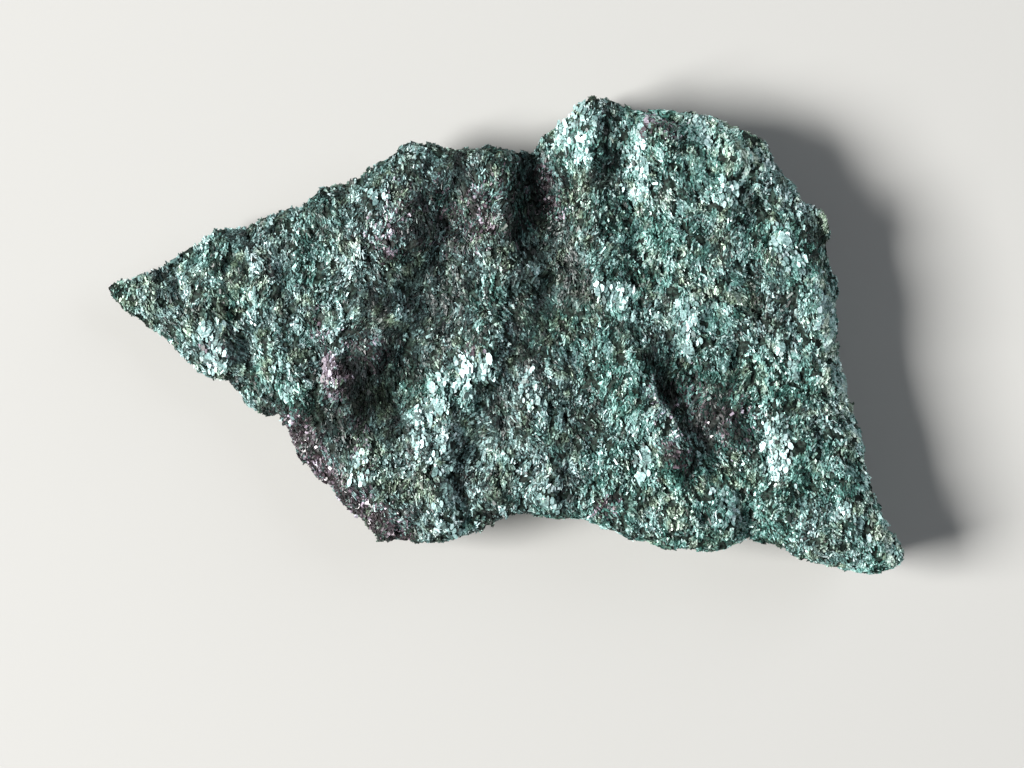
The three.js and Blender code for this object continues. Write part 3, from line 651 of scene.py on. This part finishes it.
# Scales as closed shapes: a seven-sided plate on a point sunk in the stone, close together like roof tiles
def scalePiece(name, faces, material):
    spots, face = pointsOnFaces(moved, corners[faces], count=scales["tries"])
    flat = unit(normals[corners[np.nonzero(faces)[0][face]]].mean(axis=1))
    middle, share, size = scales["edge"]
    pearly = mostOf(raggedPlan(spots), silvery) > middle + share * noiseAt(spots, size, 14)
    spots, flat = spots[pearly], flat[pearly]
    free = spacedOut(spots, scales["apart"])
    spots, flat = spots[free], flat[free]
    count, sides = len(spots), scales["sides"]
    facing = unit(0.55 * flat + scales["leaning"] + scales["tilt"] * draw.normal(0, 1, (count, 3)))
    turn = 0.5 * noiseAt(spots, 4.5, 5) + draw.normal(0, scales["turn"], count)
    along = np.stack([np.sin(turn), np.cos(turn), np.zeros(count)], axis=1)
    along = unit(inPlane(along, facing))
    across = np.cross(facing, along)
    height, heightSpread = scales["height"]
    centre = spots + flat * (height + heightSpread * draw.uniform(-1, 1, count))[:, None]
    vertices = np.empty((count, sides + 1, 3))
    size = np.exp(draw.normal(0, scales["sizeSpread"], count))
    for i in range(sides):
        angle = 2 * math.pi * i / sides
        reach = size * draw.uniform(*scales["cornerReach"], count) / 2
        vertices[:, i] = (centre + along * (scales["length"] * math.sin(angle) * reach)[:, None]
                          + across * (scales["width"] * math.cos(angle) * reach)[:, None])
    vertices[:, sides] = centre - flat * flakes["depth"]
    plate = [(i + 1, i, 0) for i in range(1, sides - 1)]
    below = [(sides, i, (i + 1) % sides) for i in range(sides)]
    mesh = meshOf(name, vertices, plate + below)
    tone = draw.normal(scales["middleTone"], scales["toneSpread"], count)
    plum = mostOf(spots[:, :2], rubies) > draw.uniform(0.2, 0.6, count)
    setFaceValues(mesh, tone=tone + scales["rubyTone"] * plum, emerald=np.full(count, scales["emerald"]),
                  ruby=1.0 * plum)
    angles = [2 * math.pi * i / sides for i in range(sides)]
    ring = [(0.5 + 0.4 * math.cos(angle), 0.5 + 0.4 * math.sin(angle)) for angle in angles] + [(0.5, 0.5)]
    addBakeMap(mesh, count, np.array(ring)[np.array(plate + below).reshape(-1)])
    return addPiece(name, mesh, material)


# Small ruby crystals between the flakes, in mm
rubyGrains = dict(
    count=2400,
    size=0.34,
    spread=0.34,
    cornerReach=(0.7, 1.15),
    sunk=0.12,
    lift=0.2,  # how far up or down from there
    middleTone=0.46,
    toneSpread=0.26,
    faceSpread=0.08,
    stops=(0.0, 0.4, 0.7, 1.0),
    ramps=dict(plum=("#1a1617", "#352b2f", "#6e606a", "#d6cadb")),
    ior=1.77,
    roughness=0.3,
)


# Corundum: small glassy plum-grey crystals, darker than the mica, with pale lilac glints
def rubyMaterial():
    material, tree, shader = newMaterial("ruby_corundum")
    tone = addNode(tree, "ShaderNodeAttribute", attribute_name="tone").outputs["Fac"]
    colour = colourOf(tree, tone, rubyGrains["stops"], rubyGrains["ramps"])
    tree.links.new(colour, shader.inputs["Base Color"])
    shader.inputs["IOR"].default_value = rubyGrains["ior"]
    shader.inputs["Roughness"].default_value = rubyGrains["roughness"]
    return material


# Ruby crystals as skewed blocks, most of them where most ruby shows
def rubyPiece(name, faces, material):
    count = rubyGrains["count"]
    spots, face = pointsOnFaces(moved, corners[faces], count=40 * count)
    flat = unit(normals[corners[np.nonzero(faces)[0][face]]].mean(axis=1))
    strength = rubyAt(spots, raggedPlan(spots), flat)
    order = np.argsort(draw.uniform(0, 1, len(spots)) / np.maximum(strength, 1e-3) ** 3)[:count]
    spots, flat = spots[order], flat[order]
    size = rubyGrains["size"] * np.exp(draw.normal(0, rubyGrains["spread"], (count, 3))) / 2
    ahead = unit(draw.normal(0, 1, (count, 3)))
    upward = unit(flat + 0.5 * draw.normal(0, 1, (count, 3)))
    aside = unit(np.cross(upward, ahead))
    ahead = np.cross(aside, upward)
    lift = draw.uniform(-rubyGrains["lift"], rubyGrains["lift"], count) - rubyGrains["sunk"]
    centre = spots + flat * lift[:, None]
    signs = np.array([(x, y, z) for z in (-1, 1) for x, y in ((-1, -1), (1, -1), (1, 1), (-1, 1))])
    reach = signs[None] * size[:, None] * draw.uniform(*rubyGrains["cornerReach"], (count, 8, 3))
    vertices = (centre[:, None] + reach[:, :, :1] * ahead[:, None] + reach[:, :, 1:2] * aside[:, None]
                + reach[:, :, 2:] * upward[:, None])
    vertices[:, :, 2] = np.maximum(vertices[:, :, 2], 0.0)
    sides = [(3, 2, 1, 0), (4, 5, 6, 7), (0, 1, 5, 4), (1, 2, 6, 5), (2, 3, 7, 6), (3, 0, 4, 7)]
    mesh = meshOf(name, vertices, sides)
    tone = np.repeat(draw.normal(rubyGrains["middleTone"], rubyGrains["toneSpread"], count), 6)
    setFaceValues(mesh, tone=tone + rubyGrains["faceSpread"] * draw.normal(0, 1, 6 * count))
    addBakeMap(mesh, 6 * count, squarePlaces[:4])
    return addPiece(name, mesh, material)


# The flakes go in five pieces, by where the faces that they lie on are and how steep those are
parts = dict(upperFrom=0.45, underFrom=-0.6, leftTo=-8, rightFrom=18)
faceX = moved[corners].mean(axis=1)[:, 0]
faceUp = unit(normals[corners].mean(axis=1))[:, 2]
upper, under = faceUp > parts["upperFrom"], faceUp < parts["underFrom"]
left, right = faceX < parts["leftTo"], faceX > parts["rightFrom"]
mica = micaMaterial()
for name, faces, count, scale in (
    ("mica_upper_left", upper & left, 25000, 1),
    ("mica_upper_middle", upper & ~left & ~right, 32000, 1),
    ("mica_upper_right", upper & right, 32000, 1),
    ("mica_sides", ~upper & ~under, 30000, 1.3),
    ("mica_underside", under, 17000, 1.7),
):
    flakePiece(name, faces, count, scale, mica)
    print("flakes:", name)
scalePiece("mica_scales", upper, mica)
print("pearly scales")
rubyPiece("ruby_crystals", np.ones(len(corners), bool), rubyMaterial())
print("ruby crystals")

# Plain studio with a broad key light from the left and a weak fill from the right, in m and W
studio = dict(
    lights={
        "key_light": dict(place=(-1.17, -0.17, 1.06), size=0.7, power=60.0, colour="#fffdfb"),
        "fill_light": dict(place=(0.9, 0.5, 0.6), size=0.9, power=5.0, colour="#f2f6ff"),
    },
    aim=(0, 0, 0.01),
    sky="#b9bcc0",
    skyStrength=0.21,
    floor="#b4b4b1",
    floorSize=3,
    floorRoughness=0.9,
)


def addFloor():
    bm = bmesh.new()
    bmesh.ops.create_grid(bm, x_segments=1, y_segments=1, size=studio["floorSize"])
    mesh = bpy.data.meshes.new("floor")
    bm.to_mesh(mesh)
    bm.free()
    floor = bpy.data.objects.new("floor", mesh)
    bpy.context.scene.collection.objects.link(floor)
    material, tree, shader = newMaterial("pale_floor")
    shader.inputs["Base Color"].default_value = linear(studio["floor"])
    shader.inputs["Roughness"].default_value = studio["floorRoughness"]
    floor.data.materials.append(material)


def addLights():
    for name, settings in studio["lights"].items():
        lamp = bpy.data.lights.new(name, "AREA")
        lamp.shape = "SQUARE"
        lamp.size = settings["size"]
        lamp.energy = settings["power"]
        lamp.color = linear(settings["colour"])[:3]
        holder = bpy.data.objects.new(name, lamp)
        holder.location = Vector(settings["place"])
        away = Vector(settings["place"]) - Vector(studio["aim"])
        holder.rotation_euler = away.to_track_quat("Z", "Y").to_euler()
        bpy.context.scene.collection.objects.link(holder)
    world = bpy.data.worlds.new("studio")
    world.use_nodes = True
    sky = world.node_tree.nodes["Background"]
    sky.inputs["Color"].default_value = linear(studio["sky"])
    sky.inputs["Strength"].default_value = studio["skyStrength"]
    bpy.context.scene.world = world


# The view: straight down, in mm. At the height of the rim 0.12 mm is one pixel of a picture 1024 wide.
view = dict(centre=(1.26, -5.67), rimHeight=8.5, distance=420, width=122.9, sensor=36)


def addCamera():
    lens = bpy.data.cameras.new("camera")
    lens.sensor_width = view["sensor"]
    lens.lens = view["sensor"] * view["distance"] / view["width"]
    camera = bpy.data.objects.new("camera", lens)
    x, y = view["centre"]
    camera.location = (x * mm, y * mm, (view["rimHeight"] + view["distance"]) * mm)
    bpy.context.scene.collection.objects.link(camera)
    bpy.context.scene.camera = camera


addFloor()
addLights()
addCamera()
bpy.context.scene.view_settings.view_transform = "Standard"
print("studio: floor, lights and camera")
